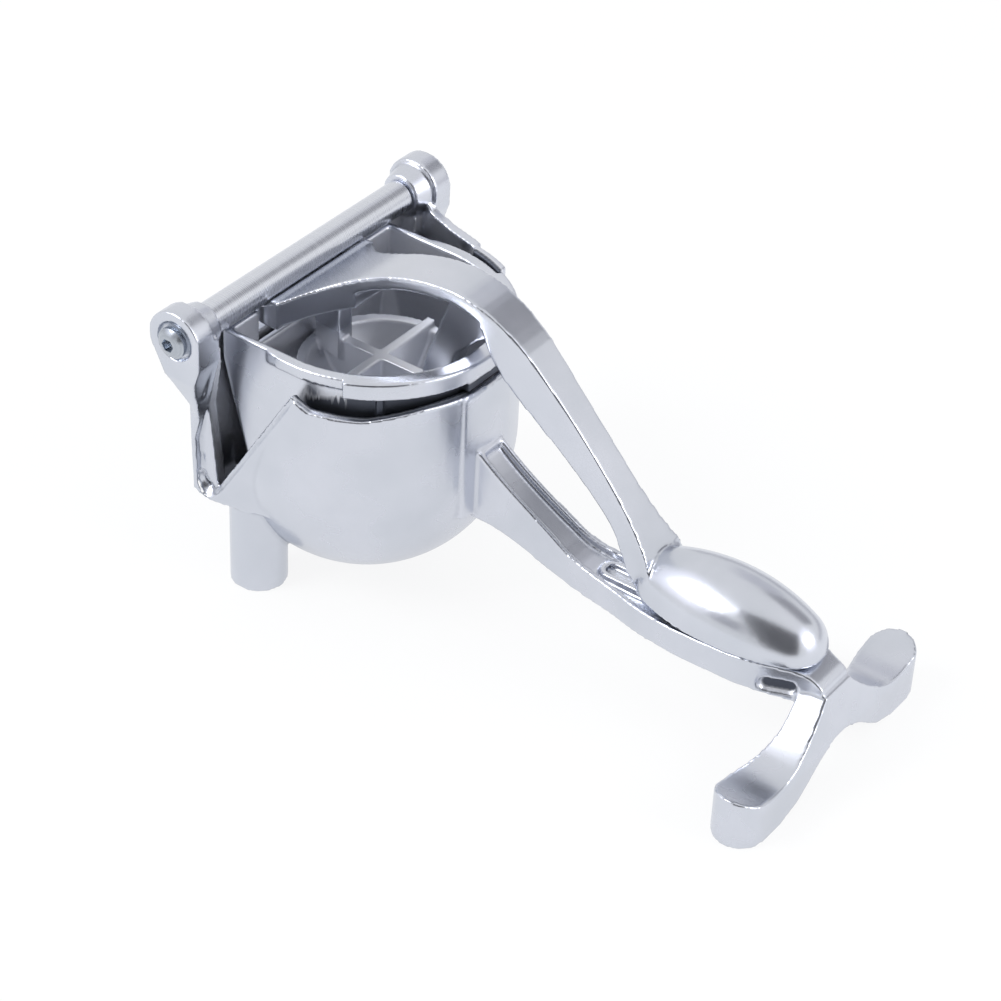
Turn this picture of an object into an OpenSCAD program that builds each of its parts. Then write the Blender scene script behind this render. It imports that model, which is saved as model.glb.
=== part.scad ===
// Hinged lemon squeezer. X runs from the hinge towards the foot fork, Y along
// the hinge rod, Z up. The part stands on z = 0 and is centred on its length.

/* [Overall] */
// Length from the back of the ears to the front of the foot fork
total_len = 187; // [185:0.5:189]
// Height of the hinge rod axis above the table
rod_z = 84.4; // [84.2:0.1:84.8]
// Width over the two screw heads
total_w = 112; // [111:0.5:113]

/* [Hinge rod] */
// Diameter of the rod
rod_d = 9.4; // [8.8:0.1:9.6]
// Distance between the inner faces of the two ears
ear_gap = 83; // [82:0.2:85]
// Radius of the rounded top of each ear
ear_r = 8.6; // [8.2:0.1:8.8]
// Depth of the round recess for each screw head
recess_deep = 1.4; // [1:0.1:2]
// Diameter of the round recess for each screw head
recess_d = 11.4; // [10.8:0.2:11.8]
// Thread diameter of the rod screws
screw_d = 5; // [4:0.5:5]
// Diameter of each screw head
head_d = 8.8; // [8.4:0.2:9.4]

/* [Bowl] */
// Outer radius of the bowl
bowl_r = 41.5; // [41:0.1:42]
// Distance from the rod axis forward to the middle of the bowl
bowl_x = 22; // [21.8:0.1:22.2]
// Height of the bowl's front rim
rim_z = 71; // [69:0.25:71]
// Wall thickness of the casting
wall = 3; // [2.6:0.1:3]
// Diameter of the two rear feet
foot_d = 16; // [14:0.5:17]
// Distance between the middles of the two rear feet
foot_span = 65; // [62:0.5:68]

/* [Strainer cup] */
// Outer radius of the cup
cup_r = 35.4; // [34.8:0.1:35.6]
// Height of the cup's rim above the table
cup_z = 79.4; // [78.8:0.1:79.4]
// Wall thickness of the cup
cup_wall = 2.2; // [1.8:0.1:2.4]
// Diameter of the drain holes
drain_d = 3; // [2:0.25:3.5]
// Number of drain holes in the outer ring
drain_n = 14; // [8:1:16]

/* [Lower handle] */
// Width of the handle where it leaves the bowl
neck_w = 11; // [10.5:0.25:12]
// Widest part of the handle, under the grip
handle_w = 25; // [23:0.5:27]
// Width of each raised rail along the channel
rail_w = 1.8; // [1.6:0.1:2.4]
// Depth of the channel between the rails
channel_deep = 2.25; // [2:0.25:3]
// Thickness of the foot fork along the length
fork_t = 14.4; // [13:0.2:16]
// Distance between the middles of the two fork pads
fork_span = 72; // [68:1:76]

/* [Press lever] */
// Width of the lever arm along its slope
arm_w = 10; // [9:0.25:11]
// Width of the tongue under the rod
tongue_w = 41; // [38:0.5:43]
// Thickness of the arm's top plate
plate_t = 4; // [3.6:0.1:4.6]
// Thickness of the webs that carry the press head
rib_t = 6; // [5:0.25:7]
// Height of the arch above the table
arch_z = 99; // [98:0.5:100]
// Radius of the round press head
press_r = 23.5; // [22.5:0.25:23.5]
// Length of the grip
grip_len = 56; // [55:0.5:57]
// Widest part of the grip
grip_w = 27; // [26:0.5:28]

/* [Hidden] */
$fn = 96;
// Far beyond the part, for open-sided cuts
far = 200;
// Small overlap that keeps cuts clean
eps = 0.05;
// Gap between parts that rest on or turn against each other
rest_gap = 0.3;
// Radial gap around the screws
screw_gap = 0.1;

// Hinge
rod_x = ear_r - total_len / 2;
rod_r = rod_d / 2;
rod_len = ear_gap - 2 * rest_gap;
ear_in = ear_gap / 2;
head_h = 3.8;
dome_r = 6.5;
dome_rise = 0.35;
ear_out = total_w / 2 - head_h + recess_deep;
head_y = ear_out - recess_deep;
ear_low = 57;
ear_slope_z = 73;
boss_r = 6;
face_t = 1.6;
post_t = 3.5;
post_x = 5.4;
post_low_x = 2.7;
post_turn_z = 60;
tap_deep = 12;
socket_af = 3.4;
socket_deep = 2.2;

// Bowl and its walls, measured from the rod axis
belly_z = bowl_r + 0.8;
top = 98;
back = -4;
low = 27.5;
back_round = 8;
corner_r = 12;
side_out = 8.5;
side_w = ear_in + side_out;
side_turn = -14;
side_lean = -6.3;
peak_x = 28;
peak_z = 72.3;
far_rim_z = 79.2;
notch_r = 2.7;
notch_x = 1.1;
notch_z = 33.4;
notch_rise = 58.4;
notch_deep = 12;
lip_bevel = 3.8;
lip_deep = 2.4;
lip_turn = 1.8;
hook_w = tongue_w + 4;
back_low = 69.5;
back_high = 79;
foot_x = 10;

// Strip on the bowl's front, loop in the channel and hollows by the fork
root_w = 20.6;
root_low = 31;
root_t = 0.4;
loop_l = 25;
loop_w = 7.4;
loop_h = 4.6;
loop_sink = 1.6;
loop_bar = 1.7;
hollow_d = 4.2;
hollow_l = 9.5;
hollow_z = 25.4;
hollow_deep = 1.4;

// Fork and handle
fork_front = total_len - ear_r;
fork_back = fork_front - fork_t;
pad_r = fork_t / 2;
root_x = bowl_x + bowl_r - 1.5;
loop_x = reach(0.39);

// Cup
cup_x = 24.5;
cup_back = 0.6;
cup_low = 27;
cup_round = 22;
block_low = 42;
corner_z = 72;
corner_rake = 11;
flange_w = 1.4;
flange_t = 3.4;
flange_x = -8;
lip_w = 3;
lip_t = 5;
lip_x = 16;
lip_z = cup_z - lip_t;
fin_t = 2;
fin_low = 48;
fin_turn = 50;
lug_w = 16;
lug_h = 4;

// Lever
groove_r = rod_r + rest_gap;
tongue_back = 8.4;
tongue_front = 7;
tongue_top = rod_z - 2;
tongue_low = rod_z - 10.8;
press_x = 26.3;
press_z = 67;
press_cut = 62;
press_wall = 3;
press_rib = 3;
grip_x = reach(0.787);
grip_z = 33.3;
grip_turn = 2;
grip_low = 31.95;
grip_bend = 60;
grip_front = grip_len / 2;
grip_wall = 4;
grip_tip_wall = 7;
pocket_r = grip_len / 2 - grip_tip_wall;
pocket_deep = 7;

// Distance from the rod axis, given as a share of the way from the bowl to the fork
function reach(s) = root_x + s * (fork_back - root_x);

// Outer face of the leaning side wall at a height
function side_at(z) = side_w + (rod_z - z) * tan(side_lean);

// Points along a smooth curve set by two ends and two pulls
function curve(a, b, c, d, n = 12) = [for (i = [0 : n - 1]) let (t = i / n, s = 1 - t)
    a * s * s * s + b * 3 * s * s * t + c * 3 * s * t * t + d * t * t * t];

// The same line moved sideways by a distance
function beside(p, d) = [for (i = [0 : len(p) - 1])
    let (q = p[min(i + 1, len(p) - 1)] - p[max(i - 1, 0)]) p[i] + [-q.y, q.x] * d / norm(q)];

function turned(p) = [for (i = [len(p) - 1 : -1 : 0]) p[i]];

// Half a plan outline joined to its mirror image
function both(p) = concat(p, [for (q = turned(p)) [q.x, -q.y]]);

// A side view outline thickened across the width
module across(w) {
  rotate([90, 0, 0])
    linear_extrude(w, center = true)
      children();
}

// An outline seen from the front, run along the length
module along(x0, x1) {
  translate([x0, 0, 0])
    rotate([90, 0, 90])
      linear_extrude(x1 - x0)
        children();
}

// Everything inside the leaning side wall of the bowl
module inside_side(w) {
  translate([0, w, rod_z])
    rotate([0, 0, side_turn])
      rotate([side_lean, 0, 0])
        translate([-far, -2 * far, -far])
          cube(2 * far);
}

// The box behind the bowl, drawn smaller by an inset for its inside
module back_box(inset) {
  r = back_round - inset / 2;
  c = corner_r - inset / 2;
  w = side_w - inset + 1 - c;
  intersection() {
    across(far)
      union() {
        translate([back + inset + r, low + inset + r])
          circle(r);
        translate([back + inset, low + inset + r])
          square([peak_x - back - inset, top - low]);
        translate([back + inset + r, low + inset])
          square([peak_x - back - inset - r, top - low]);
      }
    linear_extrude(far)
      union() {
        for (s = [-1, 1])
          translate([back + inset + c, s * w])
            circle(c);
        translate([back + inset, -w])
          square([far, 2 * w]);
        translate([back + inset + c, -far / 2])
          square(far);
      }
    inside_side(side_w - inset);
    mirror([0, 1, 0])
      inside_side(side_w - inset);
  }
}

// The round bowl, drawn smaller by an inset for its inside
module bowl(inset) {
  intersection() {
    translate([bowl_x, 0, belly_z]) {
      sphere(bowl_r - inset);
      cylinder(r = bowl_r - inset, h = top - belly_z);
    }
    translate([back + inset, -far, -far])
      cube(2 * far);
  }
}

// Notch in the near wall that the juice is poured through, with a bevelled lip
module pouring_notch() {
  foot = [notch_x + notch_r * sin(notch_rise), notch_z - notch_r * cos(notch_rise)];
  face = side_at(notch_z) + foot.x * tan(side_turn);
  translate([0, -far / 2 - ear_in + notch_deep, 0])
    across(far)
      union() {
        polygon([[9, far], [8, 78], [-0.6, 49], [notch_x - notch_r, notch_z], foot,
          [peak_x, peak_z], [peak_x, far]]);
        translate([notch_x, notch_z])
          circle(notch_r);
      }
  translate([foot.x, lip_deep - face, foot.y])
    rotate([0, -notch_rise, 0])
      rotate([0, 0, lip_turn])
        translate([0, -lip_deep, -lip_bevel])
          rotate([atan2(lip_bevel, lip_deep), 0, 0])
            translate([0, -6, 0])
              cube([55, 10, 3]);
  translate([notch_x, -face, notch_z])
    rotate([-90, 0, 0])
      cylinder(r1 = notch_r + 0.7 * lip_bevel, r2 = notch_r, h = lip_deep);
}

// What is cut away above the walls
module wall_tops() {
  // Near rim in front of the notch, lowest at the side
  translate([0, -far / 2, 0])
    across(far)
      polygon([[peak_x, far], [peak_x, peak_z], [peak_x + 5, rim_z - 1.7], [46, rim_z - 2.4],
        [57, rim_z], [far, rim_z], [far, far]]);
  translate([0, -far / 2, 0])
    across(far)
      polygon([[-far, far], [-far, 85], [peak_x, 85], [peak_x, far]]);
  // Far rim, nearly level with the cup's rim and stepping under its lip
  translate([0, far / 2, 0])
    across(far)
      polygon([[-far, far], [-far, 85], [5, 85], [9, far_rim_z + 1.4], [18, far_rim_z + 0.5],
        [cup_x + lip_x - rest_gap, far_rim_z], [cup_x + lip_x - rest_gap, lip_z - rest_gap],
        [48, lip_z - rest_gap], [50.5, rim_z], [far, rim_z], [far, far]]);
  // Rear wall, lowest where the lever's tongue passes
  translate([-far, -ear_in, back_high])
    cube([far + 9, 2 * ear_in, far]);
  translate([-far / 2, -hook_w / 2, back_low])
    cube([far / 2, hook_w, far]);
}

module ear() {
  intersection() {
    across(far)
      union() {
        translate([0, rod_z])
          circle(ear_r);
        polygon([[-7, 79.4], [-2.2, 70], [0.6, 63], [0.6, 50], [3, 50], [4, 66], [8.4, 79], [8.4, rod_z]]);
      }
    along(-20, 20)
      polygon([[side_w - wall, top], [side_w - wall, rod_z], [side_at(ear_low) - wall, ear_low],
        [side_at(ear_low) - eps, ear_low], [ear_out, ear_slope_z], [ear_out, top]]);
  }
  // Tapered boss that the rod's end rests against
  translate([0, ear_in, rod_z])
    rotate([-90, 0, 0])
      cylinder(r1 = boss_r, r2 = ear_r, h = ear_out - face_t - ear_in);
}

// Thick rear corners that carry the ears, standing inside the side walls
module corner_posts() {
  difference() {
    intersection() {
      back_box(wall - 0.5);
      across(far)
        polygon([[back, low], [post_low_x, low], [post_low_x, post_turn_z], [post_x, post_turn_z + 14],
          [post_x, rod_z - 2], [back, rod_z - 2]]);
    }
    intersection() {
      inside_side(side_w - wall - post_t);
      mirror([0, 1, 0])
        inside_side(side_w - wall - post_t);
    }
  }
}

// Side view of the handle between two smooth edges
handle_top = concat(
  curve([root_x, 53], [reach(0.098), 44], [reach(0.196), 39.5], [reach(0.294), 33.5]),
  curve([reach(0.294), 33.5], [reach(0.382), 28.4], [reach(0.569), 29.6], [reach(0.735), 30.6]),
  curve([reach(0.735), 30.6], [reach(0.941), 32], [reach(1.069), 33], [fork_front - 2.9, 26.5]),
  [[fork_front - 2, 23]]);
handle_low = concat(
  curve([root_x, 29], [reach(0.098), 30.5], [reach(0.206), 25], [reach(0.314), 22.8]),
  curve([reach(0.314), 22.8], [reach(0.431), 20.2], [reach(0.647), 23], [fork_back, 22.6]),
  [[fork_front - 2, 20]]);
handle_plan = concat(
  curve([root_x, neck_w / 2], [reach(0.225), neck_w / 2 - 0.3],
    [reach(0.353), neck_w / 2], [reach(0.49), 8.4]),
  curve([reach(0.49), 8.4], [reach(0.627), handle_w / 2],
    [reach(0.725), handle_w / 2], [reach(0.843), handle_w / 2]),
  curve([reach(0.843), handle_w / 2], [reach(0.961), handle_w / 2], [fork_back, 6.5], [reach(1.088), 6]),
  [[fork_front - 2, 6]]);

// Long outline with round ends that ends at a given front
module stadium(front, middle, length, width) {
  for (x = [front - length + width / 2, front - width / 2])
    translate([x, middle])
      circle(width / 2);
  translate([front - length + width / 2, middle - width / 2])
    square([length - width, width]);
}

module lower_handle() {
  difference() {
    intersection() {
      across(far)
        polygon(concat(handle_top, turned(handle_low)));
      linear_extrude(far)
        polygon(both(handle_plan));
    }
    // Channel between the rails
    intersection() {
      across(far)
        polygon(concat([for (p = handle_top) p - [0, channel_deep]], [[fork_front, far], [root_x, far]]));
      linear_extrude(far)
        polygon(both(beside(handle_plan, -rail_w)));
      translate([bowl_x + bowl_r + 1, -far / 2, 0])
        cube([fork_back + 1 - bowl_x - bowl_r, far, far]);
    }
    // Shallow long hollow in each side wall by the fork
    difference() {
      across(far)
        stadium(fork_back + 3.5, hollow_z, hollow_l, hollow_d);
      linear_extrude(far)
        polygon(both(beside(handle_plan, -hollow_deep)));
    }
  }
  // Raised loop that the lever's arm stands over
  difference() {
    translate([0, 0, 25])
      linear_extrude(loop_h)
        stadium(loop_x + loop_l, 0, loop_l, loop_w);
    translate([0, 0, 25 + loop_h - loop_sink])
      linear_extrude(loop_h)
        stadium(loop_x + loop_l - loop_bar, 0, loop_l - 2 * loop_bar, loop_w - 2 * loop_bar);
  }
}

fork_top = concat(
  [[6, 26]],
  curve([6, 26], [9, 22.5], [14, 17.5], [21, 13.8]),
  curve([21, 13.8], [27, 11.4], [33, 11], [fork_span / 2 + pad_r, 15.2]),
  [[fork_span / 2 + pad_r, 15.2]]);
fork_low = concat(
  curve([0, 11.8], [10, 11.8], [14, 4], [22, 1]),
  [[27, 0], [fork_span / 2 + pad_r, 0]]);
fork_plan = concat(
  [[fork_back + 4, 0]],
  curve([fork_back + 4, 9], [fork_back + 5.6, 18], [fork_back, 24], [fork_back, fork_span / 2]),
  [[fork_back, fork_span / 2], [fork_front, fork_span / 2]]);

module foot_fork() {
  intersection() {
    along(fork_back, fork_front)
      union() {
        polygon(concat([[0, 26]], fork_top, turned(fork_low)));
        mirror([1, 0])
          polygon(concat([[0, 26]], fork_top, turned(fork_low)));
      }
    linear_extrude(far)
      union() {
        polygon(both(fork_plan));
        for (s = [-1, 1])
          translate([fork_back + pad_r, s * fork_span / 2])
            circle(pad_r);
      }
    // Front face, leaning back above the feet
    across(far)
      polygon([[fork_back - 1, -1], [fork_front, -1], [fork_front, 11],
        [fork_front - 2.6, 27], [fork_back - 1, 27]]);
  }
}

// Rounded strip down the bowl's front that carries the handle
module root_pad() {
  intersection() {
    translate([bowl_x, 0, 0])
      cylinder(r = bowl_r + root_t, h = rim_z - 1);
    translate([bowl_x, -root_w / 2, root_low])
      cube([far, root_w, far]);
  }
}

module frame_casting() {
  color("silver")
    difference() {
      union() {
        difference() {
          union() {
            difference() {
              union() {
                bowl(0);
                back_box(0);
                root_pad();
              }
              bowl(wall);
              back_box(wall);
              wall_tops();
            }
            ear();
            mirror([0, 1, 0])
              ear();
          }
          pouring_notch();
        }
        corner_posts();
        for (s = [-1, 1])
          translate([foot_x, s * foot_span / 2, 0])
            cylinder(d = foot_d, h = low + 1);
        lower_handle();
        foot_fork();
      }
      // Rod ends sit between the ears
      translate([-12, -ear_in, back_high])
        cube([24, 2 * ear_in, 40]);
      // Screw holes and their recesses
      for (s = [-1, 1])
        translate([0, s * far / 2, rod_z])
          rotate([90, 0, 0])
            cylinder(d = screw_d + 2 * screw_gap, h = far - eps, center = true);
      for (s = [0, 1])
        mirror([0, s, 0])
          translate([0, head_y, rod_z])
            rotate([-90, 0, 0])
              cylinder(d = recess_d, h = far);
    }
}

module hinge_rod() {
  color("lightgray")
    translate([0, 0, rod_z])
      rotate([90, 0, 0])
        difference() {
          cylinder(d = rod_d, h = rod_len, center = true);
          for (s = [-1, 1])
            translate([0, 0, s * rod_len / 2])
              cylinder(d = screw_d + 2 * screw_gap, h = 2 * tap_deep, center = true);
        }
}

module rod_screw() {
  translate([0, head_y, rod_z])
    rotate([-90, 0, 0])
      difference() {
        union() {
          // Domed head, flat round the socket
          intersection() {
            cylinder(d = head_d, h = head_h);
            translate([0, 0, head_h + dome_rise - dome_r])
              sphere(dome_r);
          }
          translate([0, 0, rod_len / 2 - head_y - tap_deep + 1])
            cylinder(d = screw_d, h = head_y - rod_len / 2 + tap_deep);
        }
        translate([0, 0, head_h - socket_deep])
          cylinder(d = socket_af / cos(30), h = 5, $fn = 6);
      }
}

module rod_screws() {
  color("dimgray") {
    rod_screw();
    mirror([0, 1, 0])
      rod_screw();
  }
}

// Everything in front of the cup's rear corner, which draws in towards the bottom
module rear_corner(inset) {
  translate([cup_back, -cup_r, corner_z])
    rotate([0, 0, 45])
      rotate([0, -corner_rake, 0])
        translate([inset, -far, -far])
          cube(2 * far);
}

// The cup's round body, drawn smaller by an inset for its inside
module cup_body(inset) {
  r = cup_r - inset;
  intersection() {
    union() {
      translate([cup_x, 0, 0])
        rotate_extrude()
          intersection() {
            union() {
              translate([0, cup_low + inset])
                square([cup_r - cup_round, far]);
              translate([cup_r - cup_round, cup_low + cup_round])
                circle(cup_round - inset);
              translate([0, cup_low + cup_round])
                square([r, far]);
            }
            square([far, far]);
          }
      translate([0, -r, block_low + inset])
        cube([cup_x, 2 * r, far]);
    }
    translate([cup_back + inset, -far, 0])
      cube([far, 2 * far, cup_z + inset]);
    rear_corner(inset);
    mirror([0, 1, 0])
      rear_corner(inset);
  }
}

module strainer_cup() {
  color("gainsboro")
    difference() {
      union() {
        cup_body(0);
        // Flange round the rim
        translate([cup_x, 0, cup_z - flange_t])
          intersection() {
            cylinder(r = cup_r + flange_w, h = flange_t);
            translate([flange_x, -far, 0])
              cube([far, 2 * far, far]);
          }
        // Deeper lip along the front, with the lug that rests on the bowl's rim
        translate([cup_x, 0, lip_z])
          intersection() {
            cylinder(r = cup_r + lip_w, h = lip_t);
            translate([lip_x, -far, 0])
              cube([far, 2 * far, far]);
          }
        translate([cup_x + cup_r - cup_wall, -lug_w / 2, rim_z + rest_gap])
          cube([lip_w + 1.2, lug_w, lug_h]);
        // Fins that centre the cup in the bowl
        intersection() {
          for (a = [-fin_turn, fin_turn])
            translate([cup_x, 0, 0])
              rotate([0, 0, a])
                translate([cup_r - cup_wall / 2, -fin_t / 2, fin_low])
                  cube([10, fin_t, lip_z + 1 - fin_low]);
          bowl(wall + rest_gap);
        }
      }
      cup_body(cup_wall);
      // Low rear wall where the tongue passes
      translate([-far / 2, -hook_w / 2, back_low - 1])
        cube([far / 2 + 8, hook_w, far]);
      // Drain holes
      for (i = [1 : drain_n])
        translate([cup_x, 0, 0])
          rotate([0, 0, i * 360 / drain_n])
            translate([13, 0, 0])
              cylinder(d = drain_d, h = 40, $fn = 24);
      for (i = [1 : 7])
        translate([cup_x, 0, 0])
          rotate([0, 0, i * 360 / 7])
            translate([6.5, 0, 0])
              cylinder(d = drain_d, h = 40, $fn = 24);
      translate([cup_x, 0, 0])
        cylinder(d = drain_d, h = 40, $fn = 24);
    }
}

arm_top = concat(
  curve([6, 82], [20, 88], [32, arch_z - 1], [50, arch_z], 16),
  curve([50, arch_z], [58, arch_z + 0.8], [reach(0.059), 97], [reach(0.157), 88.5]),
  curve([reach(0.157), 88.5], [reach(0.255), 79], [reach(0.373), 66.5], [reach(0.569), 43]),
  [[reach(0.569), 43]]);
arm_low = concat(
  [[63, 92], [67, 83.5]],
  curve([reach(0.098), 77.5], [reach(0.196), 68.5], [reach(0.294), 61], [reach(0.382), 52.8]),
  curve([reach(0.382), 52.8], [reach(0.431), 48.3], [reach(0.461), 44], [reach(0.485), 38]),
  [[reach(0.485), 38], [reach(0.495), 35.5], [reach(0.53), grip_low + 1], [reach(0.608), grip_low + 1]]);
arm_plan = concat(
  [[-1, tongue_w / 2], [7, tongue_w / 2]],
  curve([7, tongue_w / 2], [14, 12], [18, 9], [31, 7.6]),
  curve([31, 7.6], [45, 7.2], [58, 7], [reach(0.098), arm_w / 2 + 1]),
  curve([reach(0.098), arm_w / 2 + 1], [reach(0.235), arm_w / 2],
    [reach(0.333), arm_w / 2 - 1], [reach(0.461), arm_w / 2]),
  curve([reach(0.461), arm_w / 2], [reach(0.52), arm_w / 2 + 0.6], [reach(0.559), 7], [reach(0.598), 9.5]),
  [[reach(0.598), 9.5]]);

// Middle of the end arc that meets the grip's long side arc smoothly
function end_at(half) = let (sink = grip_bend - grip_w / 2, rest = grip_bend - half)
    (sink * sink - rest * rest) / (2 * rest);

// Where that end arc and the side arc meet
function meet_at(half) = end_at(half) * grip_bend / (grip_bend - half + end_at(half));

// The grip's body of revolution
module grip_body() {
  front = grip_front;
  rear = grip_len - grip_front;
  rotate([0, 90, 0])
    rotate_extrude()
      intersection() {
        union() {
          translate([0, end_at(front)])
            circle(front - end_at(front));
          translate([0, -end_at(rear)])
            circle(rear - end_at(rear));
          intersection() {
            translate([grip_w / 2 - grip_bend, 0])
              circle(grip_bend);
            translate([0, -meet_at(rear)])
              square([far, meet_at(rear) + meet_at(front)]);
          }
        }
        translate([0, -far])
          square([far, 2 * far]);
      }
}

module press_lever() {
  color("whitesmoke")
    difference() {
      union() {
        // Tongue that hooks under the rod
        across(tongue_w)
          polygon([[-tongue_back, tongue_low], [tongue_front, tongue_low],
            [tongue_front, tongue_top], [-tongue_back, tongue_top]]);
        // Arched plate
        intersection() {
          across(far)
            polygon(concat(arm_top, turned(beside(arm_top, -plate_t))));
          linear_extrude(far)
            polygon(both(arm_plan));
        }
        // Swept shoulders in front of the rod
        intersection() {
          across(far)
            polygon([[6, 74], [24, 82], [24, 89], [6, 82]]);
          linear_extrude(far)
            polygon(both(arm_plan));
        }
        // Solid bar from the arch down to the grip
        intersection() {
          across(far)
            polygon(concat([for (p = arm_top) if (p.x > 62) p], turned(arm_low)));
          linear_extrude(far)
            polygon(both(arm_plan));
        }
        // Webs that carry the press head
        across(rib_t)
          polygon([[5, 75], [14, 79], [14, press_cut - 4], [6, press_cut - 2]]);
        across(rib_t)
          polygon([[40, press_cut - 6], [44, press_cut + 12], [52, arch_z - 3], [66, arch_z - 6],
            [66, 88], [60, 84], [54, 78], [49, press_cut]]);
        // Press head with its ribs
        difference() {
          intersection() {
            translate([press_x, 0, press_z])
              sphere(press_r);
            translate([-far / 2, -far / 2, 0])
              cube([far, far, press_cut]);
          }
          translate([press_x, 0, press_z])
            sphere(press_r - press_wall);
        }
        intersection() {
          translate([press_x, 0, press_z])
            sphere(press_r - press_wall / 4);
          translate([press_x, 0, 0])
            for (a = [0, 90])
              rotate([0, 0, a])
                translate([-far / 2, -press_rib / 2, 0])
                  cube([far, press_rib, press_cut + 2]);
        }
        // Grip, hollow underneath
        difference() {
          intersection() {
            translate([grip_x, 0, grip_z])
              rotate([0, grip_turn, 0])
                grip_body();
            translate([0, -far / 2, grip_low])
              cube(far);
          }
          // Pocket under the grip, kept clear of its two tips
          linear_extrude(grip_low + pocket_deep)
            intersection() {
              translate([grip_x, 0])
                circle(pocket_r);
              intersection_for(s = [-1, 1])
                translate([grip_x, s * (grip_bend - grip_w / 2 + grip_wall)])
                  circle(grip_bend);
            }
        }
      }
      // Round groove for the rod, open upwards
      translate([0, 0, rod_z])
        rotate([90, 0, 0])
          cylinder(r = groove_r, h = far, center = true);
      translate([-groove_r, -far / 2, rod_z])
        cube([2 * groove_r, far, 20]);
    }
}

translate([rod_x, 0, 0]) frame_casting();
translate([rod_x, 0, 0]) hinge_rod();
translate([rod_x, 0, 0]) rod_screws();
translate([rod_x, 0, 0]) strainer_cup();
translate([rod_x, 0, 0]) press_lever();
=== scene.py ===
import math

import bmesh
import bpy
import numpy as np
from mathutils import Matrix, Vector


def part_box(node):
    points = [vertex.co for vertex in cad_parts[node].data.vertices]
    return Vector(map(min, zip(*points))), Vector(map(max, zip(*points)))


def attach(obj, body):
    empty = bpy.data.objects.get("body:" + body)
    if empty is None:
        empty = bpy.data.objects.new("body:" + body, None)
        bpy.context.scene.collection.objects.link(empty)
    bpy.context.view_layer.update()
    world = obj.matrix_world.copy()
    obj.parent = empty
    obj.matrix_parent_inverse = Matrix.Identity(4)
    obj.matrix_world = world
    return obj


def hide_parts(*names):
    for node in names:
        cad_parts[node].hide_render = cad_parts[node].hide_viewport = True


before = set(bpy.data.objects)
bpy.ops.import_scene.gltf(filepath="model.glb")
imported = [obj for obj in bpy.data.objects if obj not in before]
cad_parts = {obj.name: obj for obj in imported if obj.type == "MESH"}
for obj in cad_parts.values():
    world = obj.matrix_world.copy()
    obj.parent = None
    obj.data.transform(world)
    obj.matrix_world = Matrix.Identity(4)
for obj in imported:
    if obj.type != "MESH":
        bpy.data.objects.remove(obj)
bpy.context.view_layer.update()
millimetre = 0.001
samePoint = 1e-6  # m, corners closer than this are one corner


print("frame loaded:", ", ".join(sorted(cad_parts)))


# materials
def linearColour(hexText):
    # sRGB hex to the linear colour that shaders work in
    parts = [int(hexText[i : i + 2], 16) / 255 for i in (1, 3, 5)]
    return [p / 12.92 if p <= 0.04045 else ((p + 0.055) / 1.055) ** 2.4 for p in parts] + [1]


def emptyTree(owner):
    # the node tree of a material or world, without the nodes that it starts with
    owner.use_nodes = True
    owner.node_tree.nodes.clear()
    return owner.node_tree


def addNode(tree, kind, settings=None, **links):
    # one node, with its own settings, a ramp's two stops, socket values and incoming links. A
    # socket goes by its name, with _ for a space, or by its place, as i6 for the one at place 6
    node = tree.nodes.new(kind)
    for key, value in (settings or {}).items():
        if key == "stops":
            for element, (place, tone) in zip(node.color_ramp.elements, value):
                element.position = place
                element.color = linearColour(tone) if isinstance(tone, str) else (tone,) * 3 + (1,)
        else:
            setattr(node, key, value)
    for key, value in links.items():
        byPlace = key[0] == "i" and key[1:].isdigit()
        socket = node.inputs[int(key[1:])] if byPlace else node.inputs[key.replace("_", " ")]
        if isinstance(value, bpy.types.NodeSocket):
            tree.links.new(value, socket)
        else:
            socket.default_value = value
    return node


aluminium = {
    "bright": "#dadde6",  # open polished faces
    "dull": "#d0d4dd",  # faint clouds left by the polishing wheel
    "hollow": "#9a9fab",  # hollow corners, darker partly as metal that the wheel doesn't reach and partly as painted shade
    "skin": "#e6e8ee",  # pale casting skin, left as cast where no wheel gets in; its paleness is partly painted light, lightening the pockets it covers
    "deep": "#5f636d",  # painted shade: the skin painted dark where shade falls, under the cup's lip, in the bowl and in the slots by the fork
    "hollowBelow": 0.44,  # pointiness of a hollow corner; a flat face has 0.5
    "openShareInHollow": 0.4,  # share of the open faces' colour that such a corner keeps; the rest is its darker tone, partly painted shade
    "cloudTones": (0.35, 0.65),  # part of the clouds' range in which their colour turns
    "cloudGloss": (0.3, 0.7),  # the same for their roughness
    "roughLow": 0.22,
    "roughHigh": 0.31,
    "skinRough": 0.50,
    "cloudSize": 26.0,  # mm, clouds of the polish
    "waveSize": 16.0,  # mm, the slow waves of a hand-polished casting
    "grainSize": 0.7,  # mm, sand grain, drawn coarser than the real 0.2 mm so that it shows
    "waveHeight": 0.05,  # mm
    "grainHeight": 0.004,  # mm
}


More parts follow.
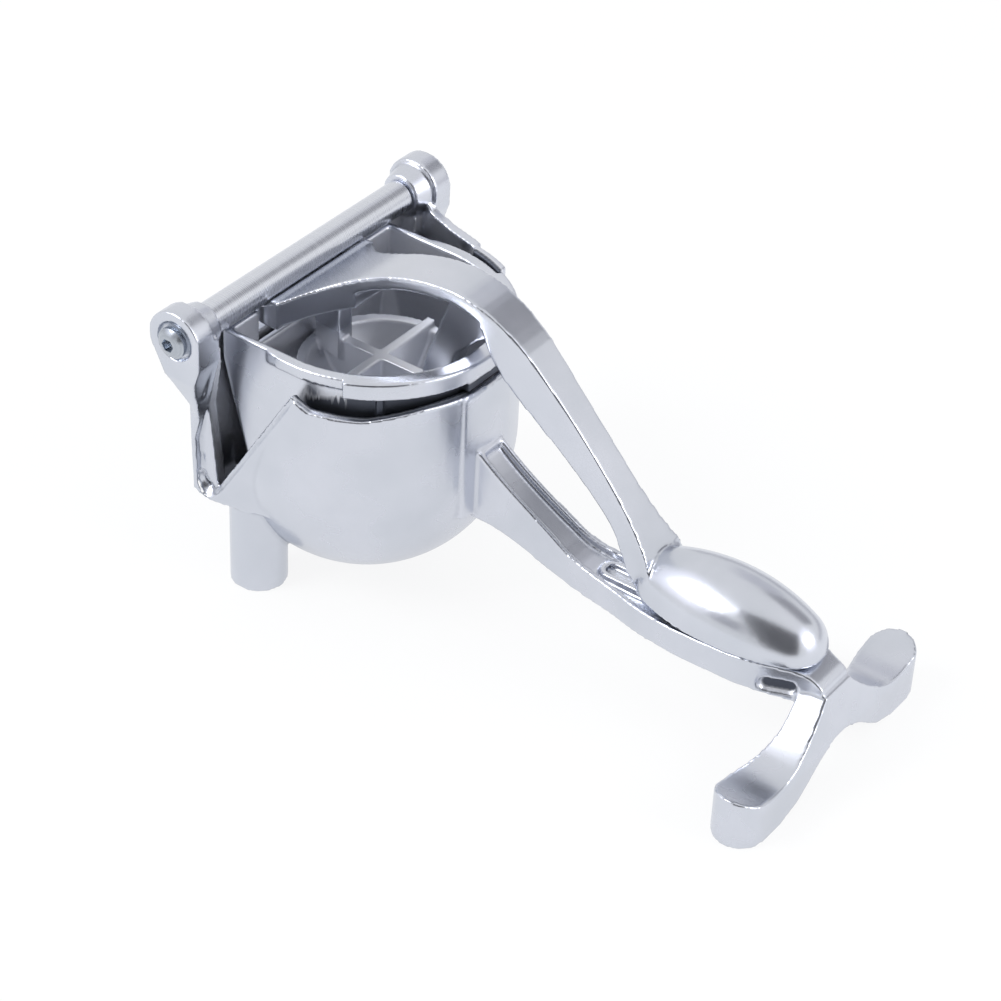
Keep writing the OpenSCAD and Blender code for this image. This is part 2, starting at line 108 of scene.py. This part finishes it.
def castAluminium(name, look):
    # Sand-cast aluminium, polished by hand on a wheel: bright and slightly wavy on the open faces,
    # and a soft grey without reflections where the casting skin was left, with painted light in the
    # skin's paleness and painted shade in hollow corners and narrow gaps
    material = bpy.data.materials.new(name)
    tree = emptyTree(material)
    place = addNode(tree, "ShaderNodeTexCoord").outputs["Object"]
    patterns = [("cloudSize", 3.0, 0.55), ("waveSize", 1.0, 0.4), ("grainSize", 2.0, 0.6)]
    clouds, waves, grain = (
        addNode(
            tree,
            "ShaderNodeTexNoise",
            Vector=place,
            Scale=1 / (look[size] * millimetre),
            Detail=detail,
            Roughness=unevenness,
        ).outputs["Fac"]
        for size, detail, unevenness in patterns
    )
    # colour: clouds of the wheel on the open faces, darker where a corner is hollow, partly as
    # unpolished metal and partly as painted shade
    ramp = "ShaderNodeValToRGB"
    edge = addNode(tree, "ShaderNodeNewGeometry").outputs["Pointiness"]
    openStops = [(look["hollowBelow"], look["openShareInHollow"]), (0.5, 1.0)]
    openShare = addNode(tree, ramp, {"stops": openStops}, Fac=edge).outputs["Color"]
    cloudStops = list(zip(look["cloudTones"], (look["dull"], look["bright"])))
    clouded = addNode(tree, ramp, {"stops": cloudStops}, Fac=clouds).outputs["Color"]
    # a mix node for colours has its two inputs at places 6 and 7, and its result at place 2
    mix, colours = "ShaderNodeMix", {"data_type": "RGBA"}
    hollow = linearColour(look["hollow"])
    polish = addNode(tree, mix, colours, i0=openShare, i6=hollow, i7=clouded).outputs[2]
    # the skin attribute is 0 on polish, a half on clean skin and 1 on skin painted dark as shade
    state = addNode(tree, "ShaderNodeAttribute", {"attribute_name": "skinAndPaintedShade"}).outputs["Fac"]
    double = {"operation": "MULTIPLY", "use_clamp": True}
    skin = addNode(tree, "ShaderNodeMath", double, i0=state, i1=2.0).outputs["Value"]
    # painted shade: the skin's tone runs to the dark shade colour towards 1
    shadeStops = [(0.5, look["skin"]), (1.0, look["deep"])]
    shadeTone = addNode(tree, ramp, {"stops": shadeStops}, Fac=state).outputs["Color"]
    tone = addNode(tree, mix, colours, i0=skin, i6=polish, i7=shadeTone).outputs[2]
    # gloss: the clouds are a little duller, the skin much duller
    cloudLow, cloudHigh = look["cloudGloss"]
    polished = addNode(
        tree,
        "ShaderNodeMapRange",
        Value=clouds,
        From_Min=cloudLow,
        From_Max=cloudHigh,
        To_Min=look["roughLow"],
        To_Max=look["roughHigh"],
    ).outputs["Result"]
    rough = addNode(tree, mix, i0=skin, i2=polished, i3=look["skinRough"]).outputs[0]
    # relief: slow waves with fine grain on them
    bump = "ShaderNodeBump"
    waveHeight, grainHeight = look["waveHeight"] * millimetre, look["grainHeight"] * millimetre
    slow = addNode(tree, bump, Height=waves, Distance=waveHeight, Strength=1.0).outputs["Normal"]
    fine = addNode(tree, bump, Height=grain, Distance=grainHeight, Strength=1.0, Normal=slow)
    shader = addNode(
        tree,
        "ShaderNodeBsdfPrincipled",
        Base_Color=tone,
        Metallic=1.0,
        Roughness=rough,
        Normal=fine.outputs["Normal"],
    )
    addNode(tree, "ShaderNodeOutputMaterial", Surface=shader.outputs["BSDF"])
    return material


def turnedSteel(name, look):
    # Turned steel: fine rings round the axis of the turning, here the Y axis, that catch a soft
    # line of light along the piece
    material = bpy.data.materials.new(name)
    tree = emptyTree(material)
    place = addNode(tree, "ShaderNodeTexCoord").outputs["Object"]
    stretch = (look["ringScale"], 1 / (look["grooveSize"] * millimetre), look["ringScale"])
    squeezed = addNode(tree, "ShaderNodeMapping", Vector=place, Scale=stretch).outputs["Vector"]
    rings = addNode(
        tree, "ShaderNodeTexNoise", Vector=squeezed, Scale=1.0, Detail=2.0, Roughness=0.5
    ).outputs["Fac"]
    ringLow, ringHigh = look["ringRange"]
    stops = [(ringLow, look["dull"]), (ringHigh, look["bright"])]
    tone = addNode(tree, "ShaderNodeValToRGB", {"stops": stops}, Fac=rings)
    rough = addNode(
        tree,
        "ShaderNodeMapRange",
        Value=rings,
        From_Min=ringLow,
        From_Max=ringHigh,
        To_Min=look["roughLow"],
        To_Max=look["roughHigh"],
    )
    depth = look["grooveDepth"] * millimetre
    bump = addNode(tree, "ShaderNodeBump", Height=rings, Distance=depth, Strength=1.0)
    shader = addNode(
        tree,
        "ShaderNodeBsdfPrincipled",
        Base_Color=tone.outputs["Color"],
        Metallic=1.0,
        Roughness=rough.outputs["Result"],
        Normal=bump.outputs["Normal"],
    )
    addNode(tree, "ShaderNodeOutputMaterial", Surface=shader.outputs["BSDF"])
    return material


rodFinish = {
    "bright": "#dfe2e9",
    "dull": "#d9dce4",
    "roughLow": 0.2511,
    "roughHigh": 0.297,
    "grooveSize": 0.35,  # mm between rings, drawn coarser than fine turning so that they show
    "grooveDepth": 0.0008,  # mm
    "ringScale": 60.0,  # low, so that the pattern hardly changes along a ring
    "ringRange": (0.3, 0.7),  # part of the pattern's range in which colour and roughness turn
}
screwFinish = dict(
    rodFinish,
    bright="#c2c8d0",
    dull="#a9afb8",
    roughLow=0.2418,
    roughHigh=0.286,
    grooveSize=0.4,  # mm
)
rodSteel = turnedSteel("turnedRodSteel", rodFinish)
screwSteel = turnedSteel("zincPlatedScrewSteel", screwFinish)
print("materials made")


# castings
def evaluatedMesh(thing):
    graph = bpy.context.evaluated_depsgraph_get()
    return bpy.data.meshes.new_from_object(thing.evaluated_get(graph))


def polishedCasting(look):
    # a copy of the node's mesh, built up anew from small cells and worn smooth, as a casting's
    # edges are
    node = look["node"]
    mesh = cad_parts[node].data.copy()
    work = bmesh.new()
    work.from_mesh(mesh)
    bmesh.ops.remove_doubles(work, verts=work.verts, dist=samePoint)
    work.to_mesh(mesh)
    work.free()
    rough = bpy.data.objects.new("rough", mesh)
    bpy.context.scene.collection.objects.link(rough)
    cells = rough.modifiers.new("cells", "REMESH")
    cells.mode = "VOXEL"
    cells.voxel_size = look["voxel"] * millimetre
    wear = rough.modifiers.new("wear", "SMOOTH")
    wear.factor = 0.5  # each pass takes a point half way to the middle of its neighbours
    wear.iterations = look["passes"]
    made = evaluatedMesh(rough)
    triangles = sum(len(p.vertices) - 2 for p in made.polygons)
    bpy.data.objects.remove(rough)
    piece = bpy.data.objects.new(node + "Polished", made)
    bpy.context.scene.collection.objects.link(piece)
    if triangles > look["triangles"]:
        thin = piece.modifiers.new("thin", "DECIMATE")
        thin.ratio = look["triangles"] / triangles
        fewer = evaluatedMesh(piece)
        piece.modifiers.clear()
        piece.data = fewer
    piece.data.shade_smooth()
    markSkinAndShade(piece.data, look)
    piece.data.materials.clear()
    piece.data.materials.append(look["material"])
    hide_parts(node)
    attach(piece, look["body"])
    print(node, "polished:", triangles, "triangles before,", len(piece.data.polygons), "faces kept")


def markSkinAndShade(mesh, look):
    # the finish at each point: 0 polish, a half clean casting skin, 1 skin painted dark as shade.
    # Each runs into the next over "edge" mm, centred where the depth into its region is 0
    places = np.empty(len(mesh.vertices) * 3, np.float32)
    mesh.vertices.foreach_get("co", places)
    x, y, z = places.reshape(-1, 3).T / millimetre
    depths = look["depths"](x, y, z)
    clean, inShade = (np.clip(depth / look["edge"] + 0.5, 0, 1) for depth in depths)
    skin = mesh.attributes.new("skinAndPaintedShade", "FLOAT", "POINT")
    skin.data.foreach_set("value", np.maximum(clean / 2, inShade).astype(np.float32))


# where each finish and the painted shade lie, in mm; "forward" is measured along X from the hinge
# rod
rodPlace = -84.9
bowl = {
    "x": -62.9,
    "radius": 39.8,
    "floorZ": 42.3,  # centre of the round floor
    "shadeFrom": 10,  # forward
    "shadeFade": 6,  # times as slow as an ordinary edge
}
pocket = {
    "half": 46.8,  # half width at the rod, level with the top
    "taper": 0.249,  # narrower by this much for each mm forward
    "lean": 0.1104,  # and for each mm down
    "top": 84.4,
    "back": -1.4,  # forward
    "front": 22,  # forward
    "low": 30,
    "high": 79,
}
slot = {"back": 75.2, "front": 80.5, "z": 25.4, "radius": 1.8}


def depthsInBody(x, y, z):
    # clean skin: mm inside the pocket behind the bowl, whose two side walls lean outwards. Painted
    # shade: mm inside the bowl, from its upright axis, or from the centre of its round floor below
    # that centre, fading out towards the pocket, or inside the small slot in each side of the
    # handle by the fork
    below = np.minimum(z - bowl["floorZ"], 0)
    inBowl = bowl["radius"] - np.sqrt((x - bowl["x"]) ** 2 + y**2 + below**2)
    forward = x - rodPlace
    behind = forward - pocket["back"]
    wall = pocket["half"] - pocket["taper"] * forward - pocket["lean"] * (pocket["top"] - z)
    limits = [wall - np.abs(y), behind, pocket["front"] - forward]
    inPocket = np.minimum.reduce(limits + [z - pocket["low"], pocket["high"] - z])
    along = x - np.clip(x, slot["back"], slot["front"])
    inSlot = slot["radius"] - np.hypot(along, z - slot["z"])
    fading = (forward - bowl["shadeFrom"]) / bowl["shadeFade"]
    inShade = np.maximum(np.minimum(inBowl, fading), inSlot)
    return np.maximum(inPocket, np.minimum(inBowl, behind)), inShade


body = {
    "node": "frame_casting",
    "voxel": 0.5,  # mm
    "passes": 4,
    "triangles": 190000,
    "depths": depthsInBody,
    "edge": 0.8,  # mm over which one finish turns into the next
    "material": castAluminium("polishedCastAluminiumBody", aluminium),
    "body": "frame",
    "slot": "cast_body",
}
polishedCasting(body)


cupWall = {"x": -60.4, "radius": 34.3, "back": 1.7, "roundFrom": 24.5, "rim": 78.8}  # mm
# painted shade: the skin under the cup's outer lip is painted dark, where shade falls in the gap to
# the bowl
cupLip = {
    "forward": [30, 38, 40.5, 41],  # mm, with z the line of the lip's lower edge
    "z": [71, 73, 73, 74.4],
    "shadeFrom": 28,  # mm forward
    "shadeFade": 3,  # times as slow as an ordinary edge
    "clear": 0.5,  # mm outside the inner wall
}


def depthsInCup(x, y, z):
    # clean skin: mm inside the cup's wall, straight at the back and round in front. Painted shade:
    # mm under its outer lip, in the gap to the bowl
    forward = x - rodPlace
    straight = np.minimum(cupWall["radius"] - np.abs(y), forward - cupWall["back"])
    around = cupWall["radius"] - np.hypot(x - cupWall["x"], y)
    inside = np.where(forward < cupWall["roundFrom"], straight, around)
    lip = np.interp(forward, cupLip["forward"], cupLip["z"])
    fading = (forward - cupLip["shadeFrom"]) / cupLip["shadeFade"]
    under = np.minimum.reduce([lip - z, fading, -cupLip["clear"] - inside])
    return np.minimum(inside, cupWall["rim"] - z), under


cup = {
    "node": "strainer_cup",
    "voxel": 0.5,  # mm
    "passes": 4,
    "triangles": 150000,
    "depths": depthsInCup,
    "edge": 0.8,  # mm
    "material": castAluminium("polishedCastAluminiumCup", dict(aluminium, cloudSize=19.0)),
    "body": "frame",
    "slot": "cast_cup",
}
polishedCasting(cup)


pressHead = {"x": -62, "radius": 36, "top": 66}  # mm
nowhere = -9.0  # mm, a depth that leaves a point outside the region


def depthsInHead(x, y, z):
    # clean skin: mm below the top of the ribbed press head, near the bowl's axis. No shade is
    # painted here
    beside = pressHead["radius"] - np.hypot(x - pressHead["x"], y)
    return np.minimum(pressHead["top"] - z, beside), np.full_like(z, nowhere)


# a little glossier than the rest, rubbed bright by hands
handled = dict(aluminium, roughLow=0.20, roughHigh=0.28, waveSize=20.0)
lever = {
    "node": "press_lever",
    "voxel": 0.5,  # mm
    "passes": 4,
    "triangles": 170000,
    "depths": depthsInHead,
    "edge": 4.0,  # mm
    "material": castAluminium("polishedCastAluminiumLever", handled),
    "body": "lever",
    "slot": "cast_lever",
}
polishedCasting(lever)


# hinge rod and screws
def turnedPiece(name, profile, axisX, axisZ, steps=96):
    # radius r at place y, turned round a line along Y by t:
    # (x, y, z) = (axisX + r cos t, y, axisZ + r sin t)
    radius, along = np.array(profile, float).T[:, :, None] * millimetre
    t = np.linspace(0, 2 * math.pi, steps, endpoint=False)[None, :]
    points = np.stack([axisX + radius * np.cos(t), along + 0 * t, axisZ + radius * np.sin(t)], -1)
    return gridMesh(name, points)


def gridMesh(name, points):
    # rows and columns of points into faces; the columns join round, and a fan closes each end row
    rows, columns = points.shape[:2]
    row, column = np.meshgrid(np.arange(rows - 1), np.arange(columns), indexing="ij")
    here, nextRow, beside = row * columns, (row + 1) * columns, (column + 1) % columns
    quads = np.stack([here + column, here + beside, nextRow + beside, nextRow + column], -1)
    around = np.arange(columns)
    tips = rows * columns + np.array([0, 1])
    firstFan = np.stack([np.full(columns, tips[0]), (around + 1) % columns, around], -1)
    last = (rows - 1) * columns
    lastTip = np.full(columns, tips[1])
    lastFan = np.stack([lastTip, last + around, last + (around + 1) % columns], -1)
    faces = quads.reshape(-1, 4).tolist() + firstFan.tolist() + lastFan.tolist()
    corners = np.vstack([points.reshape(-1, 3), points[0].mean(0), points[-1].mean(0)])
    mesh = bpy.data.meshes.new(name)
    mesh.from_pydata(corners.tolist(), [], faces)
    work = bmesh.new()
    work.from_mesh(mesh)
    bmesh.ops.recalc_face_normals(work, faces=work.faces)
    work.to_mesh(mesh)
    work.free()
    mesh.shade_smooth()
    piece = bpy.data.objects.new(name, mesh)
    bpy.context.scene.collection.objects.link(piece)
    return piece


rodLow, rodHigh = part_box("hinge_rod")
rodX, rodZ = (rodLow.x + rodHigh.x) / 2, (rodLow.z + rodHigh.z) / 2
rod = {
    "radius": (rodHigh.z - rodLow.z) / 2 / millimetre,
    "half": rodHigh.y / millimetre,
    "chamfer": 0.5,  # mm
    "crisp": 0.05,  # mm from the chamfer to the first full ring, so that its shading stays crisp
    "flat": 3.0,  # mm in from the radius, the ring that bounds each flat end's fan
}
ends = [rod["half"] - k for k in (0, 0, rod["chamfer"], rod["chamfer"] + rod["crisp"])]
reach = [rod["radius"] - k for k in (rod["flat"], rod["chamfer"], 0, 0)]
nearHalf = [(r, -y) for r, y in zip(reach, ends)]
profile = nearHalf + [(r, -y) for r, y in reversed(nearHalf)]
hingeRod = turnedPiece("hingeRod", profile, rodX, rodZ)
hingeRod.data.materials.append(rodSteel)
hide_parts("hinge_rod")
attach(hingeRod, "frame")

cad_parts["rod_screws"].data.materials.clear()
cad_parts["rod_screws"].data.materials.append(screwSteel)
print("rod and screws made")


# table, cards and lamps
studio = {
    "tableSize": 4.0,  # m
    "tableColour": "#f7f8fa",
    "tableForCamera": 0.86,  # share of the table that stays plain white for the camera
    "tableForMetal": 0.75,  # the same share for reflections
    "tableGloss": 0.94,  # how bright the metal sees the table
    "skyGloss": 0.88,  # how bright the metal sees the room
    "skySoft": 0.9,  # how bright the room lights the table
    "skyColour": "#f7f9fc",
    "cardBlue": 1.06,  # a card's blue against its red and green, a touch cool
}
plainWhite = linearColour("#ffffff")


def plainMesh(name, corners, faces):
    mesh = bpy.data.meshes.new(name)
    mesh.from_pydata(corners, [], faces)
    piece = bpy.data.objects.new(name, mesh)
    bpy.context.scene.collection.objects.link(piece)
    return piece


half = studio["tableSize"] / 2
tableCorners = [(-half, -half, 0), (half, -half, 0), (half, half, 0), (-half, half, 0)]
table = plainMesh("table", tableCorners, [(0, 1, 2, 3)])
tableMaterial = bpy.data.materials.new("whiteTable")
tree = emptyTree(tableMaterial)
rays = addNode(tree, "ShaderNodeLightPath").outputs
tableColour = linearColour(studio["tableColour"])
lit = addNode(tree, "ShaderNodeBsdfDiffuse", Color=tableColour).outputs["BSDF"]
white, pale = (
    addNode(tree, "ShaderNodeEmission", Color=plainWhite, Strength=strength).outputs["Emission"]
    for strength in (1.0, studio["tableGloss"])
)
seenBy = [("Is Glossy Ray", "tableForMetal"), ("Is Camera Ray", "tableForCamera")]
product = {"operation": "MULTIPLY"}
toMetal, toCamera = (
    addNode(tree, "ShaderNodeMath", product, i0=rays[ray], i1=studio[share]).outputs["Value"]
    for ray, share in seenBy
)
mixShader = "ShaderNodeMixShader"
mirrored = addNode(tree, mixShader, i0=toMetal, i1=lit, i2=pale).outputs["Shader"]
mixed = addNode(tree, mixShader, i0=toCamera, i1=mirrored, i2=white).outputs["Shader"]
addNode(tree, "ShaderNodeOutputMaterial", Surface=mixed)
table.data.materials.append(tableMaterial)

world = bpy.data.worlds.new("studio")
bpy.context.scene.world = world
tree = emptyTree(world)
rays = addNode(tree, "ShaderNodeLightPath").outputs
skyColour = linearColour(studio["skyColour"])
room = [(skyColour, studio["skySoft"]), (plainWhite, studio["skyGloss"]), (plainWhite, 1.0)]
soft, paleSky, whiteSky = (
    addNode(tree, "ShaderNodeBackground", Color=colour, Strength=strength).outputs["Background"]
    for colour, strength in room
)
toMetal, toCamera = rays["Is Glossy Ray"], rays["Is Camera Ray"]
mirrored = addNode(tree, mixShader, i0=toMetal, i1=soft, i2=paleSky).outputs["Shader"]
sky = addNode(tree, mixShader, i0=toCamera, i1=mirrored, i2=whiteSky).outputs["Shader"]
addNode(tree, "ShaderNodeOutputWorld", Surface=sky)

# grey and white cards round the set give the polished metal its bands; only reflections see them.
# turn is in degrees from straight behind the squeezer towards the handle's side, rise in degrees
# above the table, far, wide and high in metres
cards = [
    # name, turn, rise, far, wide, high, grey
    ("cardBehind", 17, 44, 1.3, 0.60, 0.65, 0.34),
    ("cardBehindLeft", -12, 36, 1.3, 0.40, 0.65, 0.66),
    ("cardLow", 8, 5, 1.3, 2.20, 0.32, 0.58),
    ("cardCamera", 145, 33, 1.3, 1.25, 1.60, 0.12),
    ("cardFront", -170, 22, 1.3, 0.42, 0.42, 0.45),
    ("whiteRight", 80, 30, 1.6, 0.95, 1.80, 1.30),
    ("whiteLeft", -130, 38, 1.9, 1.80, 1.80, 1.15),
]
aim = Vector((0, 0, 0.04))
for name, turn, rise, far, wide, high, grey in cards:
    t, u = math.radians(turn), math.radians(rise)
    away = Vector((math.sin(t) * math.cos(u), math.cos(t) * math.cos(u), math.sin(u)))
    sideways = away.cross(Vector((0, 0, 1))).normalized() * wide / 2
    upwards = sideways.cross(away).normalized() * high / 2
    middle = aim + away * far
    signs = [(-1, -1), (1, -1), (1, 1), (-1, 1)]
    corners = [tuple(middle + across * sideways + up * upwards) for across, up in signs]
    board = plainMesh(name, corners, [(0, 1, 2, 3)])
    paint = bpy.data.materials.new(name + "Paint")
    tree = emptyTree(paint)
    tint = (grey, grey, grey * studio["cardBlue"], 1)
    flat = addNode(tree, "ShaderNodeEmission", Color=tint, Strength=1.0)
    addNode(tree, "ShaderNodeOutputMaterial", Surface=flat.outputs["Emission"])
    board.data.materials.append(paint)
    board.visible_camera = board.visible_diffuse = board.visible_shadow = False

lamps = [
    {"name": "softKey", "place": (-0.7, -0.9, 1.1), "size": 0.7, "watts": 9.0},
    {"name": "softFill", "place": (1.05, 0.18, 0.60), "size": 0.5, "watts": 3.0},
]
for lamp in lamps:
    light = bpy.data.lights.new(lamp["name"], "AREA")
    light.shape = "SQUARE"
    light.size = lamp["size"]
    light.energy = lamp["watts"]
    holder = bpy.data.objects.new(lamp["name"], light)
    holder.location = lamp["place"]
    holder.rotation_mode = "QUATERNION"
    holder.rotation_quaternion = (Vector(lamp["place"]) - aim).to_track_quat("Z", "Y")
    bpy.context.scene.collection.objects.link(holder)
print("table and lamps set")


# camera
view = {
    "azimuth": 34.96,  # degrees
    "elevation": 36.86,
    "roll": 2.64,
    "focal": 3057.72,  # pixels
    "picture": 1001,  # pixels, the width that the focal length is for
    "sensor": 36.0,  # mm
    "target": (-0.0170, 0.0, 0.0343),  # m
    "distance": 0.825,  # m
    "nearest": 0.05,  # m
    "farthest": 20,  # m
}
a, e, r = (math.radians(view[k]) for k in ("azimuth", "elevation", "roll"))
back = Vector((math.sin(a) * math.cos(e), -math.cos(a) * math.cos(e), math.sin(e)))
level = (-back).cross(Vector((0, 0, 1))).normalized()
upright = level.cross(-back)
across = math.cos(r) * level + math.sin(r) * upright
upward = -math.sin(r) * level + math.cos(r) * upright
eye = Vector(view["target"]) + back * view["distance"]
cameraData = bpy.data.cameras.new("camera")
cameraData.sensor_width = view["sensor"]
cameraData.lens = view["sensor"] * view["focal"] / view["picture"]
cameraData.clip_start = view["nearest"]
cameraData.clip_end = view["farthest"]
camera = bpy.data.objects.new("camera", cameraData)
camera.matrix_world = Matrix(
    (
        (across.x, upward.x, back.x, eye.x),
        (across.y, upward.y, back.y, eye.y),
        (across.z, upward.z, back.z, eye.z),
        (0, 0, 0, 1),
    )
)
bpy.context.scene.collection.objects.link(camera)
bpy.context.scene.camera = camera
bpy.context.scene.view_settings.view_transform = "Standard"
bpy.context.view_layer.update()
